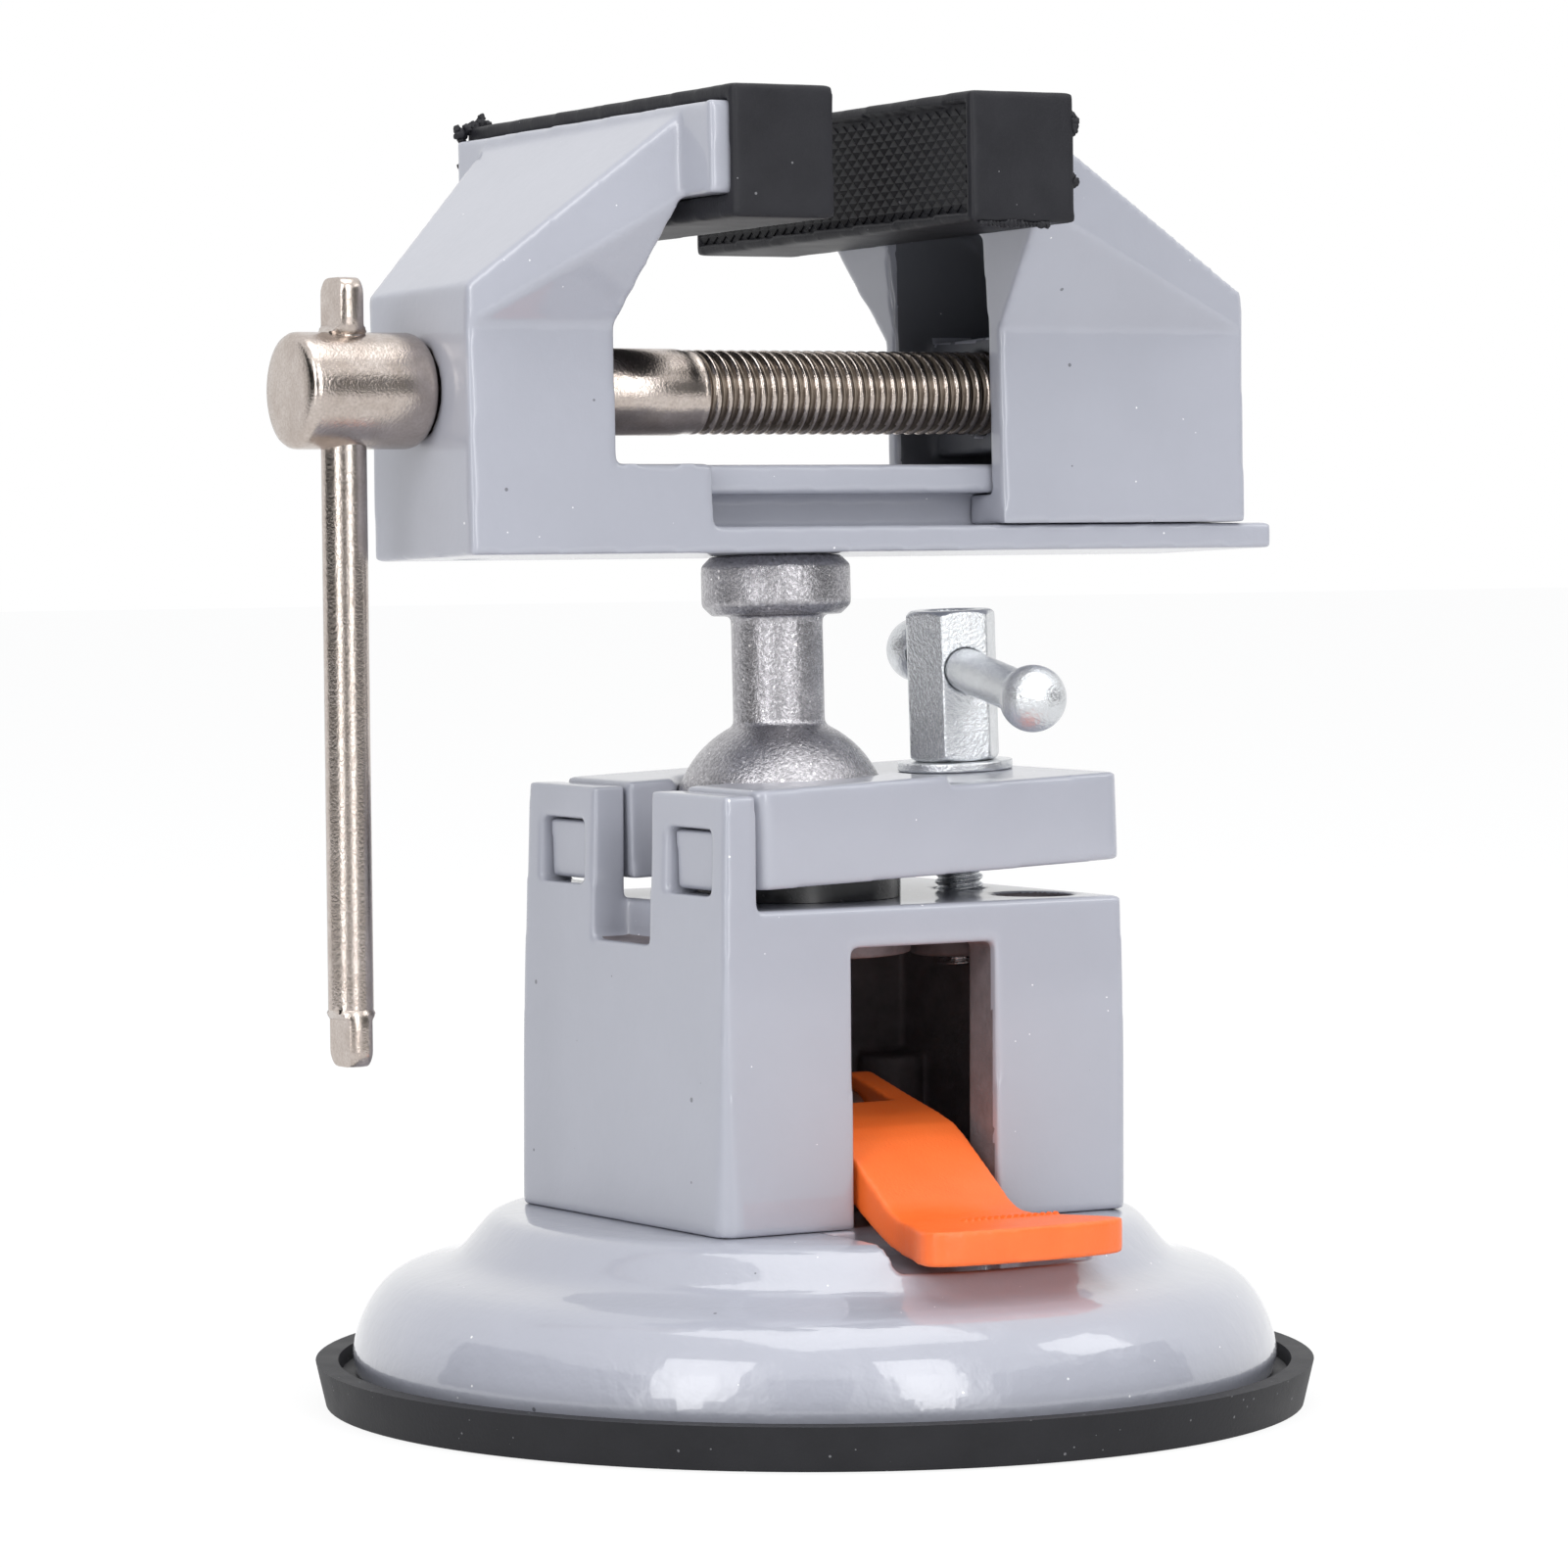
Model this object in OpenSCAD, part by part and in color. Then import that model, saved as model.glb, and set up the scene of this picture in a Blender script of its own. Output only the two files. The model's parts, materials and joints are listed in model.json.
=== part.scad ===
// Suction base vise with a ball-mounted head. Origin at the centre of the pad's underside, millimetres.
// +X runs along the vise screw towards the moving jaw, +Y away from the lever, +Z up.

/* [Suction base] */
// Outer diameter of the rubber pad's rim
pad_d = 120; // [100:1:140]
// Height of the pad's rim
pad_h = 5.2; // [4:0.1:7]
// Largest diameter of the cast shell
shell_d = 111.2; // [95:1:130]
// Height of the shell's flat top
shell_h = 23.1; // [18:0.5:30]
// How far the lever lifts the pad's centre
pull_stroke = 3; // [2:0.5:5]

/* [Tower] */
// Tower length along X at its foot
tower_x = 57.94; // [50:0.5:65]
// Tower width along Y at its foot
tower_y = 47.2; // [40:0.5:55]
// Height of the shelf that carries the ball
shelf_z = 60.7; // [55:0.5:70]
// Height of the lugs that hold the clamp plate
lug_z = 74.1; // [70:0.5:80]
// Width of the lever window
window_w = 20.3; // [16:0.5:24]

/* [Ball joint] */
// Diameter of the ball
ball_d = 26; // [20:0.5:32]
// Diameter of the neck above the ball
neck_d = 11; // [8:0.5:14]
// Diameter of the collar under the head
collar_d = 17.9; // [14:0.5:24]
// Turn of the head about the vertical, in degrees
head_yaw = -2.98; // [-10:0.5:10]
// Lean of the head about X, in degrees
head_roll = -2.42; // [-5:0.1:5]
// Slope of the clamp plate, in degrees
plate_tilt = 2.2; // [0:0.1:4]

/* [Vise head] */
// Width of the head casting
head_w = 25.7; // [22:0.1:32]
// Width of the moving jaw
jaw_w = 27.1; // [24:0.1:34]
// Length of the rubber jaw pads
jaw_pad_l = 66.2; // [60:0.2:80]
// Gap between the two jaw pads at rest
jaw_gap = 18.25; // [5:0.25:40]
// Thread diameter of the vise screw
screw_d = 10; // [8:0.5:12]
// Length of the handle bar
handle_l = 91; // [70:1:110]
// Diameter of the handle bar
handle_d = 5.3; // [4:0.1:7]

/* [Hidden] */
$fn = 96;
eps = 0.01;
run_gap = 0.06;
ball_r = ball_d / 2;
ball_x = -4.55;
ball_z = 69.4;
seat_gap = 0.08;
tower_cx = 1.2;
window_cx = 0.65;
tower_foot_z = shell_h;
draft = 1.4;
wall = 3.5;
notch_w = 12.6;
notch_cy = 0.5;
pin_z = 32;
pin_d = 5;
lever_w = 17.5;
channel_z = 19.7;
lever_t = 4.6;
stud_w = 10;
clamp_x = 25.39;
clamp_d = 5.9;
plate_bot = -5.75;
plate_top = 4.75;
plate_rise = 1.1;
bar_d = 5.2;
bar_ball_d = 8;
bar_y0 = -28.4;
bar_l = 40.6;
bar_yaw = -14.8;
bar_drop = 6.1;
bar_z = 17.65;
head_z0 = 32.05;
flange_t = 3.1;
rail_z = 42.5;
band_z = 39.05;
rail_w = 20.2;
web_w = 10.8;
hook_gap = 0.15;
block_x0 = -47.05;
block_x1 = -27.9;
ledge_x = -15.3;
flange_x1 = 62.95;
screw_z = 51.5;
shank_d = 10.3;
groove_d = 7.8;
groove_x = -38;
retainer_d = 3;
rail_x1 = 56.5;
jaw_x0 = 24;
jaw_x1 = 58.8;
jaw_wall = 2.5;
ridge_z = 63.1;
wedge_top = 25;
plate_z0 = 72.4;
plate_z1 = 82.95;
cap_z1 = 84.85;
cap_depth = 13.4;
pad_face_x = -9.8;
cap_front = 2.4;
cap_end = 1.3;
jaw_lift = 0.6;
handle_x = -56.8;
handle_roll = 1.5;
handle_top = 64.5;

// ---- frames shared by several pieces ----

module at_ball() {
  translate([ball_x, 0, ball_z]) children();
}

module in_plate() {
  at_ball() rotate([0, -plate_tilt, 0]) children();
}

module in_head() {
  at_ball() rotate([head_roll, 0, head_yaw]) children();
}

module box(lo, hi) {
  translate(lo) cube(hi - lo);
}

module along_x(x0, x1, d) {
  translate([x0, 0, 0]) rotate([0, 90, 0]) cylinder(h = x1 - x0, d = d);
}

module along_y(y0, y1, d) {
  translate([0, y0, 0]) rotate([-90, 0, 0]) cylinder(h = y1 - y0, d = d);
}

// A rectangle with rounded corners, centred
module round_rect(w, l, r) {
  difference() {
    square([w, l], center = true);
    for (sx = [-1, 1])
      for (sy = [-1, 1])
        translate([sx * (w / 2 - r), sy * (l / 2 - r)])
          difference() {
            translate([sx > 0 ? 0 : -r - 1, sy > 0 ? 0 : -r - 1]) square(r + 1);
            circle(r, $fn = 48);
          }
  }
}

// ---- suction base ----

module suction_pad() {
  r = pad_d / 2;
  color([0.13, 0.13, 0.14])
    difference() {
      rotate_extrude($fn = 160)
        polygon([[0, 3], [18, 3], [46, 0], [r - 1.2, 0], [r, pad_h], [r - 2.7, pad_h], [r - 3.1, 3.6],
          [52, 3.6], [48, 4.2], [24, 6.9], [0, 6.9]]);
      stud_plate_shape(0);
      cylinder(h = 9, d = stud_w + 4);
    }
  color([0.13, 0.13, 0.14])
    translate([0, 0, 3])
      cylinder(h = 1, d = stud_w + 4);
}

module stud_plate_shape(clear) {
  translate([0, 0, 4]) cylinder(h = 1.8, r = 20 + clear);
}

module stud_plate() {
  color([0.6, 0.6, 0.62])
    difference() {
      stud_plate_shape(0);
      translate([0, 0, 3]) cylinder(h = 4, d = 6);
    }
}

module pull_stud() {
  color([0.66, 0.66, 0.68])
    difference() {
      union() {
        translate([0, 0, 5.8]) cylinder(h = 4, d = 13);
        box([-stud_w / 2, -stud_w / 2, 9.8], [stud_w / 2, stud_w / 2, pin_z]);
        translate([0, 0, pin_z]) along_x(-stud_w / 2, stud_w / 2, stud_w);
        translate([0, 0, 4]) cylinder(h = 1.8, d = 6);
      }
      translate([0, 0, pin_z]) along_x(-stud_w, stud_w, pin_d);
    }
}

module lever_pin() {
  color([0.7, 0.7, 0.72])
    translate([0, 0, pin_z]) along_x(-lever_w / 2 + 0.3, lever_w / 2 - 0.3, pin_d);
}

// Side view of the lever, in the plane of Y and Z with the pin at the origin
module lever_profile() {
  circle(5.5);
  translate([-3.62, -1.5]) circle(7.1);
  polygon([[3.8, 4], [2.7, 6.2], [0.8, 7], [-7.5, 4.8], [-14, 3.2], [-17.2, 2.2], [-19.3, 1], [-22.4, -1.2],
    [-25.6, -3.5], [-28.4, -5.6], [-29.6, -6.3], [-31, -6.8], [-33, -7.1], [-48, -6.7], [-48, -10.8],
    [-34, -11.2], [-31.6, -11], [-29.4, -10.4], [-26.8, -9.2], [-23.6, -7.4], [-21.4, -6.1], [-16, -3.9],
    [-10.4, -4]]);
}

// Plan of the lever: the arm, the flare and the bowed tab
module lever_plan() {
  hw = lever_w / 2;
  edge = [[hw, -30.5], [9, -32], [9.6, -34], [10.6, -36.5], [11.8, -39], [12.9, -41.2], [13.5, -42.8],
    [13.6, -44], [13.2, -45.1], [12.2, -45.9], [10, -46.6], [6, -47.2], [3, -47.4]];
  polygon(concat([[hw, 10]], edge, [for (i = [len(edge) - 1:-1:0]) [-edge[i][0], edge[i][1]]], [[-hw, 10]]));
}

module clamp_lever() {
  color([0.96, 0.42, 0.12])
    difference() {
      intersection() {
        translate([20, 0, pin_z])
          rotate([90, 0, -90]) linear_extrude(40)
            mirror([1, 0]) lever_profile();
        linear_extrude(60) lever_plan();
      }
      box([-stud_w / 2 - 0.4, -8.8, 10], [stud_w / 2 + 0.4, 12, 50]);
      translate([0, 0, pin_z]) along_x(-20, 20, pin_d + 2 * run_gap);
    }
}

// Outline of the shell in radius and height
function shell_outer() = [[55.6, 5.9], [55.45, 7.2], [55.1, 8.6], [54.6, 10.1], [53.9, 11.6], [53, 13],
  [52, 14.2], [50.9, 15.1], [49.5, 15.85], [47.8, 16.4], [46, 16.85], [44.8, 17.2], [43.7, 17.6], [42.8, 18.15],
  [42.1, 18.85], [40.4, 20.9], [39.5, 21.9], [38.8, 22.45], [37.7, 22.85], [36.2, shell_h - 0.1],
  [34.8, shell_h]];
function shell_inner() = [[34.6, shell_h - 4], [36.6, 18.4], [38.6, 15.6], [43, 14.2], [46.5, 13.5],
  [49.5, 12.2], [51.3, 10.4], [52.4, 8], [52.6, 5.9]];

module base_shell() {
  k = shell_d / 111.2;
  color([0.74, 0.75, 0.79])
    difference() {
      union() {
        rotate_extrude($fn = 160)
          polygon(concat([[52.6 * k, 3.6], [55.1 * k, 3.6]], [for (p = shell_outer()) [p[0] * k, p[1]]],
            [[0, shell_h], [0, shell_h - 4]], [for (p = shell_inner()) [p[0] * k, p[1]]]));
        // floor of the lever channel
        intersection() {
          box([-15.5, -44, 13], [15.5, -18, channel_z]);
          translate([0, 0, 10]) cylinder(h = 12, r = 40.4 * k);
        }
      }
      box([window_cx - window_w / 2, -60, channel_z], [window_cx + window_w / 2, -21.5, shell_h + 2]);
      box([-13.9, -60, channel_z], [13.9, -tower_y / 2, shell_h + 2]);
      translate([0, 0, 15]) cylinder(h = 12, d = 14.8);
      tower_screw_holes(4.5);
    }
}

// ---- tower ----

module tower_screw_holes(d) {
  for (sx = [-1, 1])
    for (sy = [-1, 1])
      translate([tower_cx + sx * 21.2, sy * 17, 10]) cylinder(h = 26, d = d, $fn = 48);
}

// The outside of the tower: four drafted faces and rounded corners
module tower_block(top) {
  h = top - tower_foot_z;
  intersection() {
    translate([tower_cx, 0, tower_foot_z]) linear_extrude(h) round_rect(tower_x, tower_y, 2.6);
    translate([tower_cx - tower_x / 2, -40, tower_foot_z]) rotate([0, draft, 0])
      translate([0, 0, -10]) cube([80, 80, h + 30]);
    translate([tower_cx + tower_x / 2, -40, tower_foot_z]) rotate([0, -draft, 0])
      translate([-80, 0, -10]) cube([80, 80, h + 30]);
    translate([-40, -tower_y / 2, tower_foot_z]) rotate([-draft, 0, 0])
      translate([0, 0, -10]) cube([90, 80, h + 30]);
    translate([-40, tower_y / 2, tower_foot_z]) rotate([draft, 0, 0])
      translate([0, -80, -10]) cube([90, 80, h + 30]);
  }
}

module tower() {
  x0 = tower_cx - tower_x / 2;
  x1 = tower_cx + tower_x / 2;
  hy = tower_y / 2;
  color([0.72, 0.73, 0.77])
    difference() {
      union() {
        difference() {
          tower_block(lug_z);
          box([-22.35, -40, shelf_z], [60, 40, 90]);
          // hollow inside
          box([x0 + wall + 0.6, -hy + wall + 0.4, 0], [x1 - wall - 0.6, hy - wall - 0.4, 55.9]);
        }
        // thick wall behind the notch
        box([x0 + wall, -9, 50.5], [-20, 9, 57]);
        // jambs beside the lever window
        for (sx = [-1, 1])
          translate([window_cx + sx * (window_w / 2 + 1.4) - 1.6, -hy + 2.5, tower_foot_z])
            cube([3.2, 4.2, 33]);
        // screw posts
        for (sx = [-1, 1])
          for (sy = [-1, 1])
            translate([tower_cx + sx * 21.2, sy * 17, tower_foot_z])
              cylinder(h = 16, d = 8);
        // boss for the clamp stud
        translate([21.1, 0, 52.6]) cylinder(h = 4, d = 12);
        // boss around the seat hole
        translate([ball_x, 0, 54]) cylinder(h = 3, d = 31);
      }
      // seat hole
      translate([ball_x, 0, 50]) cylinder(h = 20, d = 25.4);
      // neck notch between the lugs
      box([-40, notch_cy - notch_w / 2, 56], [-21.9, notch_cy + notch_w / 2, 90]);
      // pockets for the plate's tabs
      for (s = [-1, 1])
        box([-40, s * 14.3 - 4.75, 62.4], [-20, s * 14.3 + 4.75, 70.1]);
      // lever window
      box([window_cx - window_w / 2, -40, 10], [window_cx + window_w / 2, -hy + 8, 55.9]);
      // spare hole in the shelf
      translate([22.2, -14.2, 50]) cylinder(h = 20, d = 9.5);
      in_plate() translate([clamp_x, 0, -24]) cylinder(h = 22, d = clamp_d);
      tower_screw_holes(4);
    }
}

module tower_screws() {
  color([0.6, 0.6, 0.63])
    for (sx = [-1, 1])
      for (sy = [-1, 1])
        translate([tower_cx + sx * 21.2, sy * 17, 0]) {
          translate([0, 0, shell_h - 6.6]) cylinder(h = 2.6, d = 7.4, $fn = 48);
          translate([0, 0, shell_h - 4.2]) cylinder(h = 14, d = 4, $fn = 48);
        }
}

// ---- ball joint ----

module ball_seat() {
  color([0.25, 0.25, 0.27])
    difference() {
      union() {
        translate([ball_x, 0, shelf_z + 0.05]) cylinder(h = 2.3, d = 28.5);
        translate([ball_x, 0, 57]) cylinder(h = 4, d = 25.4 - 2 * run_gap);
      }
      at_ball() sphere(r = ball_r + seat_gap, $fn = 128);
      translate([ball_x, 0, 50]) cylinder(h = 10, d = 12);
    }
}

module ball_stud() {
  color([0.62, 0.61, 0.61])
    in_head() {
      difference() {
        union() {
          sphere(r = ball_r, $fn = 128);
          cylinder(h = 25, d = neck_d);
          translate([0, 0, head_z0 - 7.15]) collar();
          translate([0, 0, head_z0 - 0.5]) cylinder(h = 5.4, d = 8);
        }
        translate([0, 0, 16]) cylinder(h = 30, d = 5);
      }
    }
}

// Collar under the head, with bevelled rims
module collar() {
  b = 1.2;
  rotate_extrude()
    polygon([[0, 0], [collar_d / 2 - b, 0], [collar_d / 2, b], [collar_d / 2, 7.1 - b],
      [collar_d / 2 - b, 7.1], [0, 7.1]]);
}

module head_screw() {
  color([0.55, 0.55, 0.58])
    in_head() {
      translate([0, 0, 18]) cylinder(h = 21, d = 5);
      translate([0, 0, 37.6]) cylinder(h = 3.4, d = 9, $fn = 48);
    }
}

// ---- ball clamp ----

module clamp_plate() {
  x0 = -17.2;
  x1 = 34.4;
  hy = 21.9;
  step_x = 9.6;
  color([0.73, 0.74, 0.78])
    in_plate()
      difference() {
        union() {
          translate([(x0 + x1) / 2, 0, plate_bot])
            linear_extrude(plate_top - plate_bot) round_rect(x1 - x0, 2 * hy, 1.8);
          intersection() {
            translate([(x0 + x1) / 2, 0, plate_bot])
              linear_extrude(plate_top + plate_rise - plate_bot) round_rect(x1 - x0, 2 * hy, 1.8);
            box([x0, -hy, plate_bot], [step_x, hy, 12]);
          }
          for (s = [-1, 1])
            box([x0 - 3.9, s * 14.3 - 4.4, plate_bot], [x0 + 2, s * 14.3 + 4.4, 1.25]);
        }
        // socket for the ball
        sphere(r = ball_r + 0.12, $fn = 128);
        translate([0, 0, -12]) cylinder(h = 12, r = ball_r + 0.12);
        translate([0, 0, 4.6]) cylinder(h = 8, r1 = ball_r - 0.9, r2 = ball_r + 4.6);
        // slot that the neck leans into
        box([-30, -6.3, plate_bot - 1], [0, 6.3, -1.2]);
        translate([0, 0, -1.2]) rotate([0, -90, 0]) cylinder(h = 30, r = 6.3);
        translate([-30, -6.3, -1.2]) cube([30, 12.6, 20]);
        translate([clamp_x, 0, -20]) cylinder(h = 40, d = 7.2);
      }
}

module clamp_stud() {
  color([0.75, 0.75, 0.77])
    in_plate() translate([clamp_x, 0, -19]) cylinder(h = 32.5, d = clamp_d, $fn = 64);
}

module clamp_washer() {
  color([0.78, 0.78, 0.8])
    in_plate()
      translate([clamp_x, 0, plate_top + 0.03])
        difference() {
          cylinder(h = 1.15, d = 14);
          translate([0, 0, -1]) cylinder(h = 4, d = 6.4);
        }
}

module in_bar() {
  in_plate() translate([clamp_x, 0, bar_z])
    rotate([0, 0, bar_yaw]) rotate([bar_drop, 0, 0]) children();
}

module clamp_nut() {
  af = 10;
  h = 18.3;
  color([0.8, 0.8, 0.82])
    difference() {
      in_plate() translate([clamp_x, 0, plate_top + 1.21])
        intersection() {
          rotate([0, 0, bar_yaw]) cylinder(h = h, d = af / cos(30), $fn = 6);
          rotate_extrude()
            polygon([[0, 0], [af / 2 - 0.2, 0], [af / 2 + 0.8, 0.55], [af / 2 + 0.8, h - 0.55],
              [af / 2 - 0.2, h], [0, h]]);
        }
      in_plate() translate([clamp_x, 0, 0]) cylinder(h = 40, d = 6);
      in_bar() along_y(-12, 12, bar_d + 2 * run_gap);
    }
}

module clamp_bar() {
  color([0.82, 0.82, 0.84])
    in_bar() along_y(bar_y0, bar_y0 + bar_l, bar_d);
}

module clamp_bar_ends() {
  color([0.82, 0.82, 0.84])
    in_bar()
      for (y = [bar_y0, bar_y0 + bar_l])
        translate([0, y, 0])
          difference() {
            sphere(d = bar_ball_d, $fn = 64);
            along_y(y < 0 ? 0 : -8, y < 0 ? 8 : 0, bar_d);
          }
}

// ---- vise head ----

// Upper wedge of a jaw, from the block at z 59 to the plate; dir is +1 when the back faces -X
module jaw_wedge(x_back, x_front, x_top, hw, dir) {
  hull() {
    for (s = [-1, 1]) {
      wedge_post(x_back, s * hw, 58.5, ridge_z, dir, s);
      wedge_post(x_front - dir * 0.1, s * hw, 58.5, 59, dir, s);
      wedge_post(x_top, s * wedge_top, plate_z0, plate_z1 - 0.9, dir, s);
    }
  }
}

// A thin upright at one corner of the wedge, with its outer faces at x and y
module wedge_post(x, y, z0, z1, dir, s) {
  t = 0.1;
  translate([dir > 0 ? x : x - t, s > 0 ? y - t : y, z0]) cube([t, t, z1 - z0]);
}

// Cross bar of a jaw that the rubber cap goes over, from x0 to x1
// The jaw plates and their pads rise a little towards the far end
module lifted() {
  translate([0, -jaw_pad_l / 2, plate_z0]) rotate([jaw_lift, 0, 0])
    translate([0, jaw_pad_l / 2, -plate_z0]) children();
}

module jaw_plate(x0, x1) {
  hy = jaw_pad_l / 2 - cap_end;
  lifted() box([min(x0, x1), -hy, plate_z0], [max(x0, x1), hy, plate_z1]);
}

module fixed_jaw() {
  hw = head_w / 2;
  top_x = -25.3;
  color([0.73, 0.74, 0.78])
    in_head()
      difference() {
        union() {
          box([block_x0, -hw, head_z0], [flange_x1, hw, head_z0 + flange_t]);
          box([block_x0, -hw, head_z0], [block_x1, hw, 59]);
          box([block_x0, -hw, head_z0], [ledge_x, hw, rail_z]);
          box([ledge_x - 1, -rail_w / 2, band_z], [rail_x1, rail_w / 2, rail_z]);
          box([ledge_x - 1, -web_w / 2, head_z0 + 1], [rail_x1, web_w / 2, rail_z]);
          jaw_wedge(block_x0, block_x1, top_x, hw, 1);
          jaw_plate(top_x, pad_face_x - cap_front);
        }
        translate([0, 0, screw_z]) along_x(-60, 0, shank_d + 2 * run_gap);
        translate([groove_x, groove_d / 2 + retainer_d / 2 + 0.12, 20]) cylinder(h = 35, d = retainer_d);
        cylinder(h = 60, d = 8 + 2 * run_gap);
        translate([0, 0, 37.5]) cylinder(h = 20, d = 9.6);
      }
}

// Rubber cap over a jaw plate; x0 is its back and x1 the gripping face
module jaw_cap(x0, x1) {
  hy = jaw_pad_l / 2;
  inner = x1 > x0 ? x1 - cap_front : x1 + cap_front;
  far = x1 > x0 ? x0 - 1 : x0 + 1;
  lifted() difference() {
    box([min(x0, x1), -hy, 69.6], [max(x0, x1), hy, cap_z1]);
    box([min(far, inner), -hy + cap_end, plate_z0], [max(far, inner), hy - cap_end, plate_z1]);
  }
}

module fixed_jaw_pad() {
  color([0.14, 0.14, 0.15])
    in_head() jaw_cap(pad_face_x - cap_depth, pad_face_x);
}

module moving_jaw_pad() {
  x1 = pad_face_x + jaw_gap;
  color([0.14, 0.14, 0.15])
    in_head() jaw_cap(x1 + cap_depth + 0.9, x1);
}

module moving_jaw() {
  hw = jaw_w / 2;
  iw = hw - jaw_wall;
  rw = rail_w / 2 + 0.35;
  face = pad_face_x + jaw_gap;
  top_x = face + cap_depth + 1;
  z0 = head_z0 + flange_t + 0.1;
  color([0.73, 0.74, 0.78])
    in_head()
      difference() {
        union() {
          box([jaw_x0, -hw, z0], [jaw_x1, hw, 59]);
          jaw_wedge(jaw_x1, jaw_x0, top_x, hw, -1);
          jaw_plate(top_x, face + cap_front);
        }
        // hollow under the plate, open towards the fixed jaw
        difference() {
          union() {
            box([jaw_x0 - 5, -rw, rail_z + hook_gap], [jaw_x1 - 3, iw, 59]);
            hull() {
              box([jaw_x0 - 1, -rw, 58], [jaw_x1 - 5, iw, 59]);
              box([jaw_x0 - 1, -iw, 70.4], [jaw_x0 + 10, iw, 71.4]);
            }
          }
          box([29.3, -iw - 1, 44.3], [46, iw + 1, 58.3]);
        }
        // room for the rail
        box([0, -rw, band_z - hook_gap], [80, rw, rail_z + 0.2]);
        box([0, -5.65, z0 - 1], [80, 5.65, rail_z]);
        translate([0, 0, screw_z]) along_x(0, 80, screw_d + 2 * run_gap);
      }
}

module vise_screw() {
  color([0.76, 0.73, 0.68])
    in_head() translate([0, 0, screw_z]) rotate([handle_roll, 0, 0])
      difference() {
        rotate([0, 90, 0]) rotate_extrude()
          polygon([[0, -63.8], [6.3, -63.8], [6.75, -63.3], [6.75, -48.4], [6.3, -47.6], [5.15, -47.2],
            [shank_d / 2, groove_x - 1.65], [groove_d / 2, groove_x - 1.65],
            [groove_d / 2, groove_x + 1.65], [shank_d / 2, groove_x + 1.65], [shank_d / 2, -13.8],
            [screw_d / 2, -11.2], [screw_d / 2, 61], [screw_d / 2 - 1, 62], [0, 62]]);
        translate([handle_x, 0, -12]) cylinder(h = 24, d = handle_d + 2 * run_gap);
      }
}

module screw_retainer() {
  color([0.6, 0.6, 0.62])
    in_head()
      translate([groove_x, groove_d / 2 + retainer_d / 2 + 0.12, head_z0 + 0.3])
        cylinder(h = 22.6, d = retainer_d);
}

module vise_handle() {
  paddle = 5.8;
  color([0.76, 0.73, 0.68])
    in_head() translate([0, 0, screw_z]) rotate([handle_roll, 0, 0])
      translate([handle_x, 0, handle_top - screw_z - handle_l]) {
        translate([0, 0, paddle]) cylinder(h = handle_l - 2 * paddle, d = handle_d);
        for (z = [0, handle_l - paddle - 0.2])
          handle_paddle(z, paddle + 0.2);
      }
}

// Flattened end of the handle bar
module handle_paddle(z, h) {
  translate([0, 0, z])
    intersection() {
      translate([-1.45, -3.1, 0]) cube([2.9, 6.2, h]);
      translate([-5, 0, h / 2]) rotate([0, 90, 0]) cylinder(h = 10, r = 4.2);
    }
}

suction_pad();
stud_plate();
pull_stud();
lever_pin();
clamp_lever();
base_shell();
tower();
tower_screws();
ball_seat();
ball_stud();
head_screw();
clamp_plate();
clamp_stud();
clamp_washer();
clamp_nut();
clamp_bar();
clamp_bar_ends();
fixed_jaw();
fixed_jaw_pad();
moving_jaw();
moving_jaw_pad();
vise_screw();
screw_retainer();
vise_handle();
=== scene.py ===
import json
import math
import random

import bmesh
import bpy
from mathutils import Matrix, Vector, noise

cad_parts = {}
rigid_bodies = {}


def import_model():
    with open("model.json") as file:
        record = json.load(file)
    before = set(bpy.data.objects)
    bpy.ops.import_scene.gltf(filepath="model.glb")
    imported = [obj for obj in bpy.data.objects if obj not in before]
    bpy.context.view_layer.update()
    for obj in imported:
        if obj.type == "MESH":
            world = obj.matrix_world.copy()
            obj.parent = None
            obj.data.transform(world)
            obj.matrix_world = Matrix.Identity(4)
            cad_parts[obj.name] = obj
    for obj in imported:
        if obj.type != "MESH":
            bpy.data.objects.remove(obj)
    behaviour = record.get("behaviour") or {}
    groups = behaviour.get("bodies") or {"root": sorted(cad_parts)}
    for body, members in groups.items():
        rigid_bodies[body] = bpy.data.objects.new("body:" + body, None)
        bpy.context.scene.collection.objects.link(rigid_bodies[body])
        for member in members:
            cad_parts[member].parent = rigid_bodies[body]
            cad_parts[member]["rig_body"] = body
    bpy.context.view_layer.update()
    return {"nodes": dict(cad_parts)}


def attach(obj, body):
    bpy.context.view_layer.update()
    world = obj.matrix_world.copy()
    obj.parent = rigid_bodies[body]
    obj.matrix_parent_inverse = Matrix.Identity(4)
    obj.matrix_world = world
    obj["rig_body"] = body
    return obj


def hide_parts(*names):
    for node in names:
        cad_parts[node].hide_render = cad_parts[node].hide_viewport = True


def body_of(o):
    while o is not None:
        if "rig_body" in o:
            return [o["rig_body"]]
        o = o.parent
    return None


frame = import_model()

# ---- The camera ----
# A long lens a little above the vise's middle, turned to the clamp lever's side. Its place was fitted to the
# circles of the suction rim and the edges of the tower.

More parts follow.
